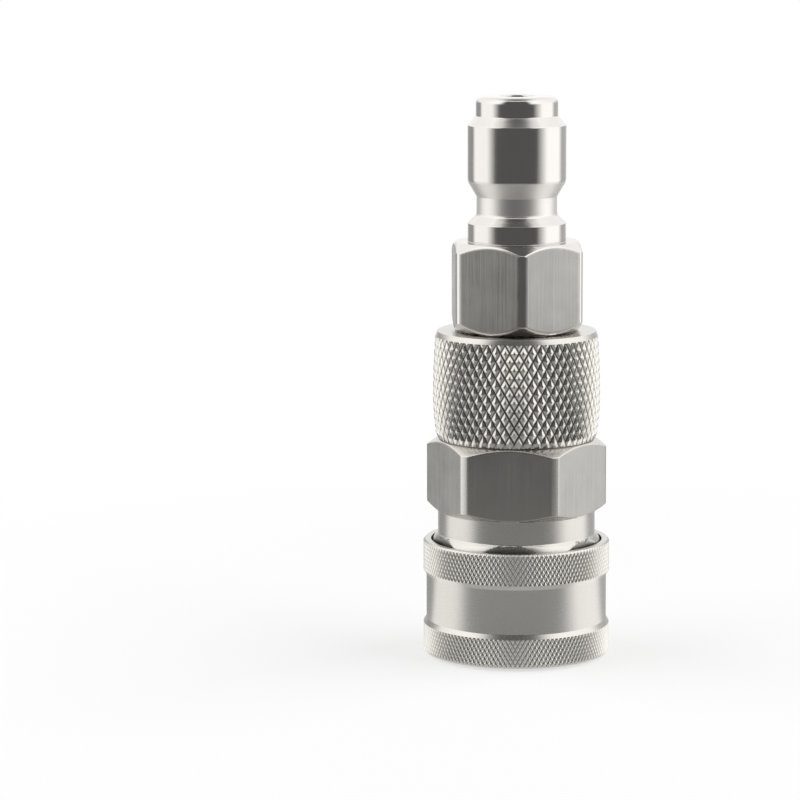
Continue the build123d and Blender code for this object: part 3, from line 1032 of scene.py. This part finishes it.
# Tent: a round white tent that only the metal's reflections show, dark behind the lens and dimmer
# in two places at the rear. Its ground darkens outwards, and its roof over the object. Stops give
# the brightness at degrees round it from the lens, or at mm from its axis.
tent_reach = 0.3
tent_top = 0.6
tent_columns = 96
roof_start = 0.1 * mm
ground_start = 17 * mm
ground_lift = 0.1 * mm
ground_side_share = 0.85
# Between these two heights, in mm, the wall goes over from its lower stops to its upper ones
low_wall_end = 100
high_wall_start = 180
low_stops = [
    (-180, 1.1), (-160, 1.1), (-150, 0.46), (-122, 0.46), (-112, 1.6), (-72, 1.6), (-50, 0.18),
    (-42, 0.14), (46, 0.14), (74, 1.75), (112, 1.75), (126, 0.65), (152, 0.65), (162, 1.1),
    (180, 1.1),
]
high_stops = [
    (-180, 1.3), (-60, 1.8), (-50, 1.6), (-36, 0.14), (32, 0.14), (44, 1.6), (60, 1.8), (180, 1.3),
]
ground_stops = [
    (0, 0.9), (30, 0.6), (45, 0.46), (65, 0.42), (90, 0.47), (135, 0.4), (175, 0.3), (205, 0.12),
    (300, 0.12),
]
roof_stops = [(0, 0.15), (100, 0.15), (150, 0.4), (200, 1.1), (300, 1.5)]


def graded(tree, value, stops):
    """Brightness that follows a value through pairs of value and brightness, in straight lines."""
    first, last = stops[0][0], stops[-1][0]
    share = add(tree, "ShaderNodeMapRange", {0: value, 1: first, 2: last}).outputs[0]
    ramp = add(tree, "ShaderNodeFloatCurve", {1: share})
    curve = ramp.mapping.curves[0]
    curve.points[0].location = (0, stops[0][1])
    curve.points[1].location = (1, stops[-1][1])
    for place, bright in stops[1:-1]:
        curve.points.new((place - first) / (last - first), bright)
    for point in curve.points:
        point.handle_type = "VECTOR"
    ramp.mapping.clip_max_y = 4.0
    ramp.mapping.update()
    return ramp.outputs[0]


def place_in_tent(tree):
    """Degrees round the tent from the lens, mm from its axis and mm above the floor."""
    spot = add(tree, "ShaderNodeTexCoord").outputs["Object"]
    turned = {"Vector": spot, "Angle": -camera_turn}
    seen = add(tree, "ShaderNodeVectorRotate", turned, rotation_type="Z_AXIS").outputs[0]
    across, deep, high = add(tree, "ShaderNodeSeparateXYZ", {0: seen}).outputs
    near = add(tree, "ShaderNodeMath", {0: deep, 1: -1.0}, operation="MULTIPLY").outputs[0]
    angle = add(tree, "ShaderNodeMath", {0: across, 1: near}, operation="ARCTAN2").outputs[0]
    degrees = add(tree, "ShaderNodeMath", {0: angle}, operation="DEGREES").outputs[0]
    flat = add(tree, "ShaderNodeVectorMath", {0: seen, 1: (1, 1, 0)}, operation="MULTIPLY")
    far = add(tree, "ShaderNodeVectorMath", {0: flat.outputs[0]}, operation="LENGTH")
    scaled = {0: far.outputs["Value"], 1: 1 / mm}
    away = add(tree, "ShaderNodeMath", scaled, operation="MULTIPLY").outputs[0]
    height = add(tree, "ShaderNodeMath", {0: high, 1: 1 / mm}, operation="MULTIPLY").outputs[0]
    return degrees, away, height


def wall_light(tree, degrees, away, height):
    """The wall follows the lower stops near the floor, and goes over to the upper ones above."""
    low, high = graded(tree, degrees, low_stops), graded(tree, degrees, high_stops)
    rise = {0: height, 1: low_wall_end, 2: high_wall_start}
    share = add(tree, "ShaderNodeMapRange", rise).outputs[0]
    return add(tree, "ShaderNodeMix", {0: share, 2: low, 3: high}, data_type="FLOAT").outputs[0]


def ground_light(tree, degrees, away, height):
    """The ground takes a share of the light of the wall behind it, or its own stops if more."""
    side, near = graded(tree, degrees, low_stops), graded(tree, away, ground_stops)
    part = {0: side, 1: ground_side_share}
    side = add(tree, "ShaderNodeMath", part, operation="MULTIPLY").outputs[0]
    return add(tree, "ShaderNodeMath", {0: side, 1: near}, operation="MAXIMUM").outputs[0]


def roof_light(tree, degrees, away, height):
    """The roof is dark over the object and bright towards its edge."""
    return graded(tree, away, roof_stops)


def tent_side(name, brightness, start, end):
    """One side of the tent, a ring between two pairs of radius and height in metres."""
    points, faces = [], []
    for i in range(tent_columns):
        turn, j = 2 * math.pi * i / tent_columns, (i + 1) % tent_columns
        points += [(r * math.cos(turn), r * math.sin(turn), z) for r, z in (start, end)]
        faces.append((2 * i, 2 * i + 1, 2 * j + 1, 2 * j))
    mesh = bpy.data.meshes.new(name)
    mesh.from_pydata(points, [], faces)
    made = bpy.data.objects.new(name, mesh)
    bpy.context.scene.collection.objects.link(made)
    paint = bpy.data.materials.new(name)
    paint.use_nodes = True
    tree = paint.node_tree
    tree.nodes.remove(tree.nodes["Principled BSDF"])
    strength = brightness(tree, *place_in_tent(tree))
    light = add(tree, "ShaderNodeEmission", {"Color": white, "Strength": strength})
    tree.links.new(light.outputs[0], tree.nodes["Material Output"].inputs[0])
    mesh.materials.append(paint)
    made.visible_camera = False
    made.visible_shadow = False
    made.visible_diffuse = False


tent_side("tent_ground", ground_light, (ground_start, ground_lift), (tent_reach, ground_lift))
tent_side("tent_wall", wall_light, (tent_reach, 0), (tent_reach, tent_top))
tent_side("tent_roof", roof_light, (tent_reach, tent_top), (roof_start, tent_top))

# The picture shows the colours as they are, without a film's curve
bpy.context.scene.view_settings.view_transform = "Standard"
